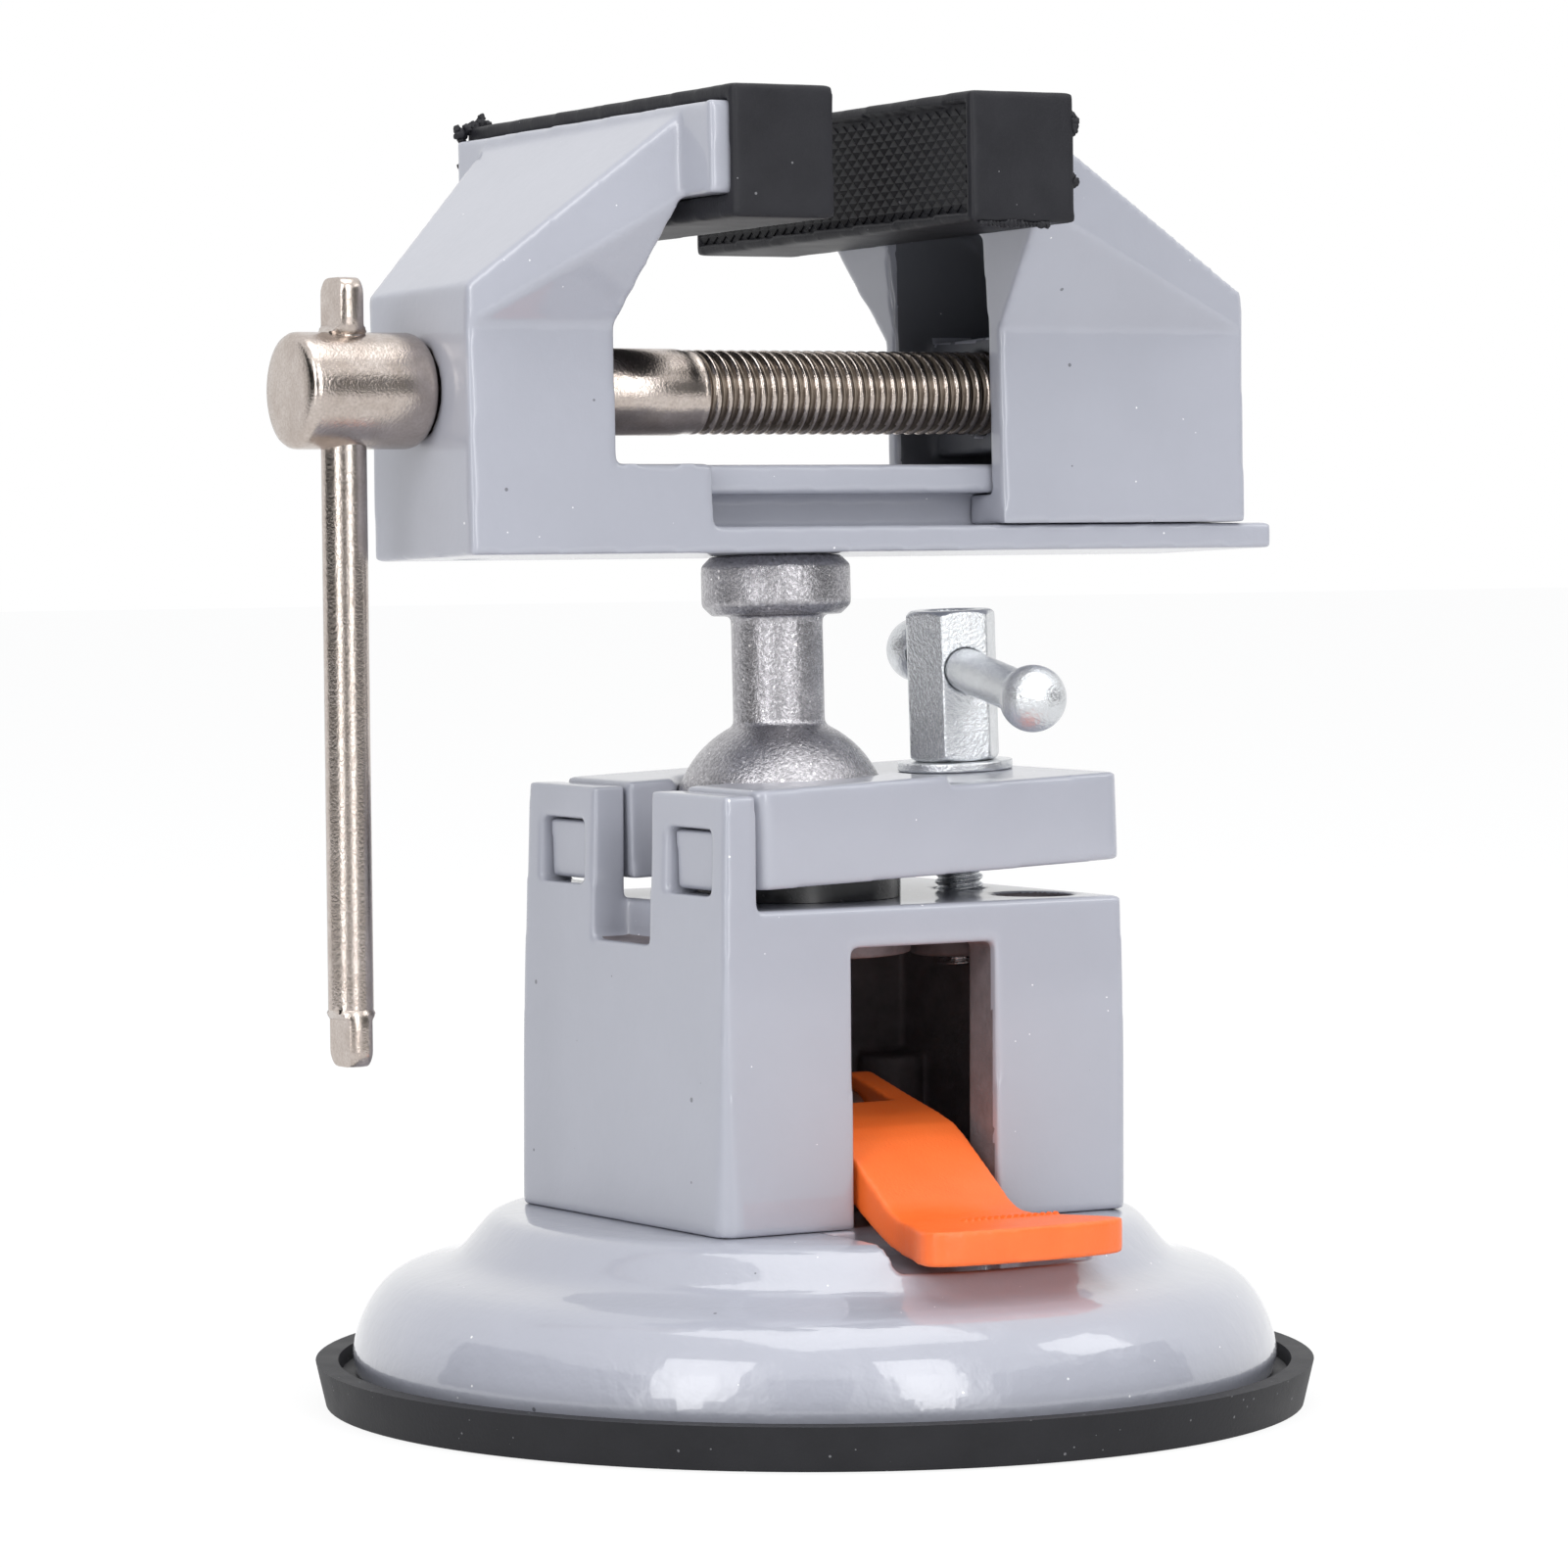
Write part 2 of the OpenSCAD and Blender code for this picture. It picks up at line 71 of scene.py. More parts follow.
azimuth, height, tilt = math.radians(-32.792), math.radians(2.796), math.radians(-0.153)
sensor_mm, photo_pixels, focal_pixels = 36, 1601, 6589.045
distance, shift_right, shift_up = 0.774243, 0.003493, 0.006044
to_camera = Vector((math.sin(azimuth) * math.cos(height), -math.cos(azimuth) * math.cos(height), math.sin(height)))
level_right = Vector((0, 0, 1)).cross(to_camera).normalized()
level_up = to_camera.cross(level_right)
right = level_right * math.cos(tilt) + level_up * math.sin(tilt)
up = level_up * math.cos(tilt) - level_right * math.sin(tilt)
aim = Vector((0, 0, 0.08)) - right * shift_right - up * shift_up
camera_data = bpy.data.cameras.new("camera")
camera_data.lens = sensor_mm * focal_pixels / photo_pixels
camera_data.sensor_width = sensor_mm
camera_data.clip_start = 0.05
camera = bpy.data.objects.new("camera", camera_data)
camera.matrix_world = Matrix.LocRotScale(
    aim + to_camera * distance, Matrix((right, up, to_camera)).transposed(), None)
bpy.context.scene.collection.objects.link(camera)
bpy.context.scene.camera = camera
bpy.context.scene.view_settings.view_transform = "Standard"

# ---- The bench top and the light ----
# A plain white sweep with soft boxes round it. The camera and the metals see white, and the floor keeps the
# vise's shadow. Cards and bright strips that only gloss shows put the dark and light streaks into the metal.


def put(tree, kind, inputs=None, **settings):
    """Adds a node. Each input is given as a value, or as the socket that feeds it."""
    added = tree.nodes.new(kind)
    for name, value in settings.items():
        setattr(added, name, value)
    for name, value in (inputs or {}).items():
        if isinstance(value, bpy.types.NodeSocket):
            tree.links.new(value, added.inputs[name])
        else:
            added.inputs[name].default_value = value
    return added


def seen_white(tree, shader, white, share):
    """Mixes a white shader over another for what the camera, the metals and clear parts see."""
    ray = put(tree, "ShaderNodeLightPath")
    mirrored = put(tree, "ShaderNodeMath", {0: ray.outputs["Is Glossy Ray"],
                                            1: ray.outputs["Is Transmission Ray"]}, operation="MAXIMUM")
    seen = put(tree, "ShaderNodeMath", {0: ray.outputs["Is Camera Ray"], 1: mirrored.outputs[0]},
               operation="MAXIMUM")
    part = put(tree, "ShaderNodeMath", {0: seen.outputs[0], 1: share}, operation="MULTIPLY")
    return put(tree, "ShaderNodeMixShader", {0: part.outputs[0], 1: shader, 2: white}).outputs[0]


floor_mesh = bpy.data.meshes.new("floor")
floor_mesh.from_pydata([(-4, -4, 0), (4, -4, 0), (4, 4, 0), (-4, 4, 0)], [], [(0, 1, 2, 3)])
floor = bpy.data.objects.new("floor", floor_mesh)
floor.location.z = -0.0002
bpy.context.scene.collection.objects.link(floor)
floor_paint = bpy.data.materials.new("white sweep")
floor_paint.use_nodes = True
tree = floor_paint.node_tree
matte = tree.nodes["Principled BSDF"]
matte.inputs["Base Color"].default_value = (0.9, 0.9, 0.9, 1)
matte.inputs["Roughness"].default_value = 0.9
white = put(tree, "ShaderNodeEmission", {"Strength": 1.04})
tree.links.new(seen_white(tree, matte.outputs[0], white.outputs[0], 0.86),
               tree.nodes["Material Output"].inputs["Surface"])
floor_mesh.materials.append(floor_paint)

world = bpy.data.worlds.new("studio")
bpy.context.scene.world = world
world.use_nodes = True
tree = world.node_tree
ambient = tree.nodes["Background"]
ambient.inputs["Color"].default_value = (0.95, 0.97, 1.0, 1)
ambient.inputs["Strength"].default_value = 0.62
white = put(tree, "ShaderNodeBackground", {"Color": (1, 1, 1, 1)})
tree.links.new(seen_white(tree, ambient.outputs[0], white.outputs[0], 1.0),
               tree.nodes["World Output"].inputs["Surface"])


def soft_box(name, place, width, depth, power):
    """A lamp of that size in metres, facing the vise's middle."""
    lamp = bpy.data.lights.new(name, "AREA")
    lamp.shape = "RECTANGLE"
    lamp.size, lamp.size_y, lamp.energy = width, depth, power
    box = bpy.data.objects.new(name, lamp)
    box.location = place
    box.rotation_euler = (Vector(place) - Vector((0, 0, 0.07))).to_track_quat("Z", "Y").to_euler()
    bpy.context.scene.collection.objects.link(box)


soft_box("left box", (-1.1, -0.55, 0.75), 0.5, 0.9, 5.5)
soft_box("right box", (-0.09, -1.25, 0.8), 0.42, 0.9, 5.0)
soft_box("side box", (1.0, -0.75, 1.0), 0.5, 0.5, 2.5)
soft_box("top box", (0.0, -0.15, 1.3), 0.9, 0.9, 6.5)


def card(name, place, width, tall, material):
    """A card of that size in metres on a stand out of sight, facing the vise's middle. Only gloss shows it."""
    mesh = bpy.data.meshes.new(name)
    mesh.from_pydata([(-width / 2, -tall / 2, 0), (width / 2, -tall / 2, 0), (width / 2, tall / 2, 0),
                      (-width / 2, tall / 2, 0)], [], [(0, 1, 2, 3)])
    board = bpy.data.objects.new(name, mesh)
    board.location = place
    board.rotation_euler = (Vector(place) - Vector((0, 0, 0.09))).to_track_quat("Z", "Y").to_euler()
    board.visible_camera = board.visible_diffuse = board.visible_shadow = False
    bpy.context.scene.collection.objects.link(board)
    mesh.materials.append(material)


card_black = bpy.data.materials.new("black card")
card_black.use_nodes = True
card_black.node_tree.nodes["Principled BSDF"].inputs["Base Color"].default_value = (0.01, 0.01, 0.01, 1)
card_black.node_tree.nodes["Principled BSDF"].inputs["Roughness"].default_value = 1.0
card_grey = card_black.copy()
card_grey.name = "grey card"
card_grey.node_tree.nodes["Principled BSDF"].inputs["Base Color"].default_value = (0.16, 0.16, 0.16, 1)
card("left card", (-1.15, 0.35, 0.3), 1.4, 0.8, card_black)
card("right card", (0.8, -0.89, 0.3), 1.35, 0.8, card_grey)
card("middle card", (-0.7, -1.04, 0.25), 0.42, 0.9, card_black)
bright_strip = bpy.data.materials.new("bright strip")
bright_strip.use_nodes = True
tree = bright_strip.node_tree
glow = put(tree, "ShaderNodeEmission", {"Strength": 6.0})
tree.links.new(glow.outputs[0], tree.nodes["Material Output"].inputs["Surface"])
card("left strip", (-1.0, -0.51, 0.32), 0.16, 0.68, bright_strip)
card("right strip", (-0.08, -1.12, 0.32), 0.16, 0.68, bright_strip)

# ---- The suction pad ----
# A black rubber cup with a flat rim, moulded in one piece. The shell stands on it, and the pull stud lifts its
# middle.


def group_of(name, inputs, outputs):
    """An empty shader group with the sockets given as (name, kind, value) and (name, kind)."""
    tree = bpy.data.node_groups.new(name, "ShaderNodeTree")
    for label, kind, value in inputs:
        tree.interface.new_socket(label, in_out="INPUT", socket_type="NodeSocket" + kind).default_value = value
    for label, kind in outputs:
        tree.interface.new_socket(label, in_out="OUTPUT", socket_type="NodeSocket" + kind)
    return tree, put(tree, "NodeGroupInput"), put(tree, "NodeGroupOutput")


# Cloudy lighter and darker patches: Cloud runs from 0 to 1 and is 0.5 on average
clouds, given, result = group_of("clouds", [("Size mm", "Float", 5.0)], [("Cloud", "Float")])
place = put(clouds, "ShaderNodeTexCoord")
fine = put(clouds, "ShaderNodeMath", {0: 1000.0, 1: given.outputs["Size mm"]}, operation="DIVIDE")
billow = put(clouds, "ShaderNodeTexNoise", {"Vector": place.outputs["Object"], "Scale": fine.outputs[0],
                                            "Detail": 4.0, "Roughness": 0.6})
clouds.links.new(billow.outputs["Fac"], result.inputs["Cloud"])

# Scattered small dots, each in its own cell: Dot is 1 on a dot and 0 between
dots, given, result = group_of(
    "dots", [("Cell mm", "Float", 3.0), ("Share", "Float", 0.2), ("Radius", "Float", 0.12)], [("Dot", "Float")])
place = put(dots, "ShaderNodeTexCoord")
fine = put(dots, "ShaderNodeMath", {0: 1000.0, 1: given.outputs["Cell mm"]}, operation="DIVIDE")
cell = put(dots, "ShaderNodeTexVoronoi", {"Vector": place.outputs["Object"], "Scale": fine.outputs[0]})
tint = put(dots, "ShaderNodeSeparateColor", {"Color": cell.outputs["Color"]})
chosen = put(dots, "ShaderNodeMath", {0: tint.outputs["Red"], 1: given.outputs["Share"]}, operation="LESS_THAN")
reach = put(dots, "ShaderNodeMath", {0: tint.outputs["Green"], 1: given.outputs["Radius"]}, operation="MULTIPLY")
near = put(dots, "ShaderNodeMath", {0: cell.outputs["Distance"], 1: reach.outputs[0]}, operation="LESS_THAN")
dot = put(dots, "ShaderNodeMath", {0: chosen.outputs[0], 1: near.outputs[0]}, operation="MULTIPLY")
dots.links.new(dot.outputs[0], result.inputs["Dot"])


def finish_of(name, rough, metal=0.0, coat=0.0):
    """A new material, its node tree and its Principled shader."""
    made = bpy.data.materials.new(name)
    made.use_nodes = True
    shader = made.node_tree.nodes["Principled BSDF"]
    shader.inputs["Roughness"].default_value = rough
    shader.inputs["Metallic"].default_value = metal
    shader.inputs["Coat Weight"].default_value = coat
    return made, made.node_tree, shader


def placed(tree, group, **values):
    """A shader group set into a material, with its inputs' values."""
    node = put(tree, "ShaderNodeGroup", node_tree=group)
    for label, value in values.items():
        node.inputs[label.replace("_", " ")].default_value = value
    return node


def between(tree, share, low, high):
    """A value that runs from low to high as the share goes from 0 to 1."""
    return put(tree, "ShaderNodeMapRange", {"Value": share, "To Min": low, "To Max": high}).outputs[0]


def tinted(tree, share, first, second):
    """A colour between two, each given as a colour or a socket."""
    mix = put(tree, "ShaderNodeMix", data_type="RGBA")
    for socket, value in ((mix.inputs[0], share), (mix.inputs[6], first), (mix.inputs[7], second)):
        if isinstance(value, bpy.types.NodeSocket):
            tree.links.new(value, socket)
        elif isinstance(value, tuple):
            socket.default_value = (*value, 1)
        else:
            socket.default_value = value
    return mix.outputs[2]


def raised(tree, shader, height, depth):
    """Puts a bump of that depth in metres on the surface."""
    bump = put(tree, "ShaderNodeBump", {"Height": height, "Distance": depth, "Strength": 1.0})
    tree.links.new(bump.outputs[0], shader.inputs["Normal"])


def rubber_of(name, dark, light, rough, dust):
    """Black rubber: cloudy and dull, finely pitted, with a few specks of dust."""
    made, tree, shader = finish_of(name, rough)
    cloud = placed(tree, clouds, Size_mm=7.0).outputs[0]
    grit = placed(tree, clouds, Size_mm=0.5).outputs[0]
    speck = placed(tree, dots, Cell_mm=1.2, Share=dust, Radius=0.15).outputs[0]
    fleck = placed(tree, dots, Cell_mm=4.0, Share=dust, Radius=0.06).outputs[0]
    colour = tinted(tree, cloud, dark, light)
    dusted = tinted(tree, speck, colour, (0.16, 0.16, 0.17))
    tree.links.new(tinted(tree, fleck, dusted, (0.5, 0.5, 0.52)), shader.inputs["Base Color"])
    tree.links.new(between(tree, cloud, rough - 0.12, rough + 0.12), shader.inputs["Roughness"])
    raised(tree, shader, grit, 0.00004)
    shader.inputs["Specular IOR Level"].default_value = 0.22
    return made


def dress(node, material):
    """Gives a solid that stays as it is its finish."""
    mesh = frame["nodes"][node].data
    mesh.materials.clear()
    mesh.materials.append(material)


cup_rubber = rubber_of("cup rubber", (0.011, 0.011, 0.013), (0.026, 0.026, 0.03), 0.55, 0.4)
dress("suction_pad", cup_rubber)

# ---- The pull stud and its plate ----
# A steel disc moulded into the cup, and the square stud riveted to it that the lever's cam lifts. The disc is out
# of sight once the shell is on.


def steel_of(name, colour, rough, scratch):
    """Turned or pressed steel: cloudy, with fine scratches round and along it."""
    made, tree, shader = finish_of(name, rough, 1.0)
    cloud = placed(tree, clouds, Size_mm=2.5).outputs[0]
    fine_cloud = placed(tree, clouds, Size_mm=0.3).outputs[0]
    darker = tuple(0.6 * c for c in colour)
    tree.links.new(tinted(tree, cloud, darker, colour), shader.inputs["Base Color"])
    tree.links.new(between(tree, fine_cloud, rough - 0.15, rough + 0.15), shader.inputs["Roughness"])
    raised(tree, shader, fine_cloud, scratch)
    return made


bright_steel = steel_of("pressed steel", (0.5, 0.5, 0.51), 0.35, 0.00003)
for name in ("stud_plate", "pull_stud"):
    dress(name, bright_steel)

# ---- The base shell ----
# A thin metal casting in gloss grey enamel that presses the cup's rim down. A channel in its crown takes the
# lever.


def moulded(node, name, material, grid=0.0004, rounds=6, kept=0.4):
    """A copy of a node's solid with its edges and corners rounded, as a mould and the paint leave them."""
    source = frame["nodes"][node]
    welded = bmesh.new()
    welded.from_mesh(source.data)
    bmesh.ops.remove_doubles(welded, verts=welded.verts, dist=1e-7)
    mesh = bpy.data.meshes.new(name)
    welded.to_mesh(mesh)
    welded.free()
    piece = bpy.data.objects.new(name, mesh)
    bpy.context.scene.collection.objects.link(piece)
    even = piece.modifiers.new("even grid", "REMESH")
    even.mode, even.voxel_size = "VOXEL", grid
    round_off = piece.modifiers.new("rounding", "SMOOTH")
    round_off.factor, round_off.iterations = 0.5, rounds
    thinned = piece.modifiers.new("fewer faces", "DECIMATE")
    thinned.ratio = kept
    piece.data = bpy.data.meshes.new_from_object(piece.evaluated_get(bpy.context.evaluated_depsgraph_get()))
    piece.data.name = name
    piece.modifiers.clear()
    bpy.data.meshes.remove(mesh)
    piece.data.materials.clear()
    piece.data.materials.append(material)
    piece.data.shade_smooth()
    piece.modifiers.new("flat faces", "WEIGHTED_NORMAL")
    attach(piece, body_of(source)[0])
    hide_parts(node)
    return piece


def enamel_of(name, colour, rough, wave, wave_mm, coat=0.0):
    """Grey enamel on a casting: faintly wavy, with small craters and specks of dust in it."""
    made, tree, shader = finish_of(name, rough, 0.0, coat)
    cloud = placed(tree, clouds, Size_mm=14.0).outputs[0]
    peel = placed(tree, clouds, Size_mm=wave_mm).outputs[0]
    pit = placed(tree, dots, Cell_mm=4.0, Share=0.3, Radius=0.075).outputs[0]
    speck = placed(tree, dots, Cell_mm=2.2, Share=0.35, Radius=0.08).outputs[0]
    darker = tuple(0.94 * c for c in colour)
    lighter = tuple(1.05 * c for c in colour)
    tone = tinted(tree, cloud, darker, lighter)
    marked = tinted(tree, pit, tone, tuple(0.45 * c for c in colour))
    tree.links.new(tinted(tree, speck, marked, (0.85, 0.85, 0.86)), shader.inputs["Base Color"])
    tree.links.new(between(tree, peel, rough - 0.05, rough + 0.05), shader.inputs["Roughness"])
    raised(tree, shader, peel, wave)
    shader.inputs["Coat Roughness"].default_value = 0.05
    return made


gloss_enamel = enamel_of("gloss enamel", (0.4, 0.41, 0.47), 0.3, 0.0003, 7.0, 1.0)
moulded("base_shell", "shell", gloss_enamel, rounds=4, kept=0.6)

# ---- The lever and its pin ----
# Moulded in orange plastic, and hung on a steel pin through the pull stud. Its cam end lifts the stud. The bowed
# tab, with a row of fine ridges, is for a finger.


def built(name, shape, material, body):
    """A piece with the finished shape, riding on that body."""
    mesh = bpy.data.meshes.new(name)
    shape.to_mesh(mesh)
    shape.free()
    mesh.materials.append(material)
    piece = bpy.data.objects.new(name, mesh)
    bpy.context.scene.collection.objects.link(piece)
    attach(piece, body)
    return piece


dress("lever_pin", bright_steel)
orange_plastic, tree, shader = finish_of("orange plastic", 0.38)
cloud = placed(tree, clouds, Size_mm=6.0).outputs[0]
grit = placed(tree, clouds, Size_mm=0.35).outputs[0]
tree.links.new(tinted(tree, cloud, (1.0, 0.148, 0.02), (1.0, 0.205, 0.04)), shader.inputs["Base Color"])
tree.links.new(between(tree, grit, 0.3, 0.5), shader.inputs["Roughness"])
raised(tree, shader, grit, 0.00005)
moulded("clamp_lever", "lever", orange_plastic, grid=0.0003, rounds=14)
ridges = bmesh.new()
first_x, row_y, top_z, ridge_pitch = -0.0034, -0.0368, 0.02505, 0.00092
half_wide, half_long, crest_half, crest_high = 0.00042, 0.00055, 0.00035, 0.0003
foot_sunk, crest_lean = 0.0002, 0.00015
for k in range(15):
    x = first_x + ridge_pitch * k
    foot = [ridges.verts.new((x + dx * half_wide, row_y + dy * half_long, top_z - foot_sunk))
            for dx, dy in ((-1, -1), (1, -1), (1, 1), (-1, 1))]
    crest = [ridges.verts.new((x + crest_lean, row_y + dy * crest_half, top_z + crest_high)) for dy in (-1, 1)]
    for corners in ((foot[0], foot[1], crest[0]), (foot[1], foot[2], crest[1], crest[0]),
                    (foot[2], foot[3], crest[1]), (foot[3], foot[0], crest[0], crest[1]), tuple(reversed(foot))):
        ridges.faces.new(corners)
bmesh.ops.recalc_face_normals(ridges, faces=ridges.faces)
built("finger_ridges", ridges, orange_plastic, body_of(frame["nodes"]["clamp_lever"])[0])

# ---- The tower ----
# A hollow metal casting in satin grey enamel, screwed to the shell from below. The lugs hold the clamp plate's
# tabs, and the window lets the lever through. The inside has no paint, and the round opening in the shelf
# takes the same dark bare finish as painted shade.

satin_enamel = enamel_of("satin enamel", (0.398, 0.408, 0.464), 0.42, 0.00005, 1.6, 0.75)
# Bare casting inside the tower, and painted shade on the walls of the shelf's round opening.
bare_inside_and_shade, tree, shader = finish_of("unpainted inside and painted shade", 0.6, 0.3)
cloud = placed(tree, clouds, Size_mm=3.0).outputs[0]
tree.links.new(tinted(tree, cloud, (0.13, 0.113, 0.12), (0.31, 0.272, 0.285)), shader.inputs["Base Color"])
raised(tree, shader, placed(tree, clouds, Size_mm=0.6).outputs[0], 0.0001)


def lined(piece, inside, material):
    """Gives the faces whose middles the test picks, in millimetres, a second material for the casting's inside."""
    piece.data.materials.append(material)
    for face in piece.data.polygons:
        if inside(face.center * 1000, face.normal):
            face.material_index = 1


tower = moulded("tower", "tower_casting", satin_enamel, rounds=10)


def inside_tower(p, n):
    """True for the tower's hollow, the window's jambs and lintel, and the round opening in its shelf, which is
    darkened as painted shade.
    """
    half_x, half_y, middle_x, foot_z, roof_z, shelf_z = 28.97, 23.6, 1.2, 23.1, 56.4, 60.5
    opening_x, opening_y, opening_radius = 22.2, -14.2, 5
    foot_skin, draft_slope = 1.0, 0.0244
    skin = foot_skin + (p.z - foot_z) * draft_slope
    # The shelf opening's walls take the dark bare finish as painted shade.
    if math.hypot(p.x - opening_x, p.y - opening_y) < opening_radius and p.z < shelf_z:
        return True
    return abs(p.x - middle_x) < half_x - skin and abs(p.y) < half_y - skin and p.z < roof_z


lined(tower, inside_tower, bare_inside_and_shade)
dress("tower_screws", bright_steel)

# ---- The ball and its seat ----
# The seat is a smooth dark ring on the tower's shelf. The ball, its neck and collar are one rough bare metal
# casting with a bright grain, screwed to the head from above.

seat_finish, tree, shader = finish_of("dark seat", 0.22)
cloud = placed(tree, clouds, Size_mm=4.0).outputs[0]
tree.links.new(tinted(tree, cloud, (0.012, 0.012, 0.014), (0.035, 0.035, 0.04)), shader.inputs["Base Color"])
tree.links.new(between(tree, cloud, 0.12, 0.4), shader.inputs["Roughness"])
dress("ball_seat", seat_finish)

bare_cast, tree, shader = finish_of("bare casting", 0.3, 1.0)
cloud = placed(tree, clouds, Size_mm=2.2).outputs[0]
grain = placed(tree, clouds, Size_mm=0.42).outputs[0]
pit = placed(tree, dots, Cell_mm=0.9, Share=0.25, Radius=0.22).outputs[0]
sharp_grain = put(tree, "ShaderNodeMapRange", {"Value": grain, "From Min": 0.35, "From Max": 0.65}).outputs[0]
tone = tinted(tree, cloud, (0.32, 0.313, 0.332), (0.68, 0.667, 0.692))
grained = tinted(tree, between(tree, sharp_grain, 0.0, 0.62), tone, (0.17, 0.167, 0.178))
tree.links.new(tinted(tree, pit, grained, (0.9, 0.87, 0.88)), shader.inputs["Base Color"])
tree.links.new(between(tree, grain, 0.16, 0.34), shader.inputs["Roughness"])
raised(tree, shader, grain, 0.00012)
moulded("ball_stud", "ball_and_stem", bare_cast, grid=0.00035, rounds=4)
dress("head_screw", bright_steel)

# ---- The clamp plate ----
# A metal casting in the same satin enamel, with a socket for the ball. Its tabs sit in the tower's lugs, and the
# tall nut pulls it down on the ball.

moulded("clamp_plate", "clamp_plate_casting", satin_enamel, rounds=7)

# ---- The clamp stud, washer and nut ----
# An M6 stud in the tower's shelf carries a plain washer and a tall hexagon nut, all bright zinc plated. A small bar
# with a ball on each end slides through the nut and turns it.

zinc_plate, tree, shader = finish_of("zinc plate", 0.25, 1.0)
cloud = placed(tree, clouds, Size_mm=2.4).outputs[0]
fine_cloud = placed(tree, clouds, Size_mm=0.4).outputs[0]
tone = tinted(tree, cloud, (0.56, 0.58, 0.61), (0.9, 0.91, 0.93))
tree.links.new(tinted(tree, fine_cloud, tone, (0.66, 0.68, 0.7)), shader.inputs["Base Color"])
tree.links.new(between(tree, cloud, 0.32, 0.14), shader.inputs["Roughness"])
raised(tree, shader, fine_cloud, 0.00014)


def skinned(shape, rings):
    """Joins rings of corners into a closed skin with flat ends."""
    around = len(rings[0])
    for first, second in zip(rings, rings[1:]):
        for k in range(around):
            shape.faces.new((first[k], first[(k + 1) % around], second[(k + 1) % around], second[k]))
    shape.faces.new(list(reversed(rings[0])))
    shape.faces.new(rings[-1])
    bmesh.ops.recalc_face_normals(shape, faces=shape.faces)


def turned(name, profile, around, body, replaced, material, place):
    """A piece turned round X: profile gives (x, radius at an angle) rings of so many points around."""
    lathe = bmesh.new()
    skinned(lathe, [[lathe.verts.new((x, radius_at(a) * math.cos(a), radius_at(a) * math.sin(a)))
                     for a in (2 * math.pi * k / around for k in range(around))] for x, radius_at in profile])
    lathe.transform(place)
    piece = built(name, lathe, material, body)
    piece.data.shade_smooth()
    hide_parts(replaced)
    return piece


def thread_radius(x, pitch, crest, depth, start, end, run_out):
    """A rolled thread's radius at an angle: rounded crests and roots that fade in over the run-out."""
    fade = min(1.0, max(0.0, (x - start) / run_out), max(0.0, (end - x) / run_out))

    def radius(angle):
        turn = (x / pitch - angle / (2 * math.pi)) % 1.0
        flank = abs(2 * turn - 1)
        wave = min(1.0, max(0.0, (flank - 0.12) / 0.72))
        return crest - depth * fade * (1 - wave * wave * (3 - 2 * wave))
    return radius


def plain(radius):
    """A ring of one radius all round."""
    return lambda angle: radius


ball_centre = Vector((-0.00455, 0, 0.0694))
plate_frame = Matrix.Translation(ball_centre) @ Matrix.Rotation(math.radians(-2.2), 4, "Y")
stud_profile = [(-0.0190, plain(0.0022))]
x, thread_top, thread_step = -0.0188, 0.0130, 0.0001
while x < thread_top:
    stud_profile.append((x, thread_radius(x, pitch=0.001, crest=0.00295, depth=0.0004, start=-0.0200, end=0.0142,
                                          run_out=0.001)))
    x += thread_step
stud_profile += [(0.0133, plain(0.0026)), (0.0135, plain(0.0022))]
turned("threaded_stud", stud_profile, 48, body_of(frame["nodes"]["clamp_stud"])[0], "clamp_stud", zinc_plate,
       plate_frame @ Matrix.Translation((0.02539, 0, 0)) @ Matrix.Rotation(math.radians(-90), 4, "Y"))
moulded("clamp_washer", "washer", zinc_plate, grid=0.00016, rounds=3)
moulded("clamp_nut", "tall_nut", zinc_plate, grid=0.0002, rounds=3, kept=0.5)
dress("clamp_bar", zinc_plate)
moulded("clamp_bar_ends", "bar_balls", zinc_plate, grid=0.0002, rounds=14, kept=0.5)

# ---- The fixed jaw ----
# The head's metal casting in satin enamel: the block round the screw, the wedge up to the jaw, and the rail that
# the moving jaw slides on.

moulded("fixed_jaw", "fixed_jaw_casting", satin_enamel, rounds=12)

# ---- The jaw pads ----
# Black rubber caps pushed over the two jaw plates, open at the back, with a field of small diamonds moulded on
# the gripping face and crumbs of flash left at their ends.

jaw_rubber = rubber_of("jaw rubber", (0.013, 0.013, 0.016), (0.024, 0.024, 0.029), 0.5, 0.07)
sharp_rubber = rubber_of("diamond rubber", (0.007, 0.007, 0.009), (0.014, 0.014, 0.017), 0.34, 0.1)
sharp_rubber.node_tree.nodes["Principled BSDF"].inputs["Specular IOR Level"].default_value = 0.3
head_frame = (Matrix.Translation(ball_centre) @ Matrix.Rotation(math.radians(-2.98), 4, "Z")
              @ Matrix.Rotation(math.radians(-2.42), 4, "X"))
near_foot = Matrix.Translation((0, -0.0331, 0.0724))
pad_frame = head_frame @ near_foot @ Matrix.Rotation(math.radians(0.6), 4, "X") @ near_foot.inverted()


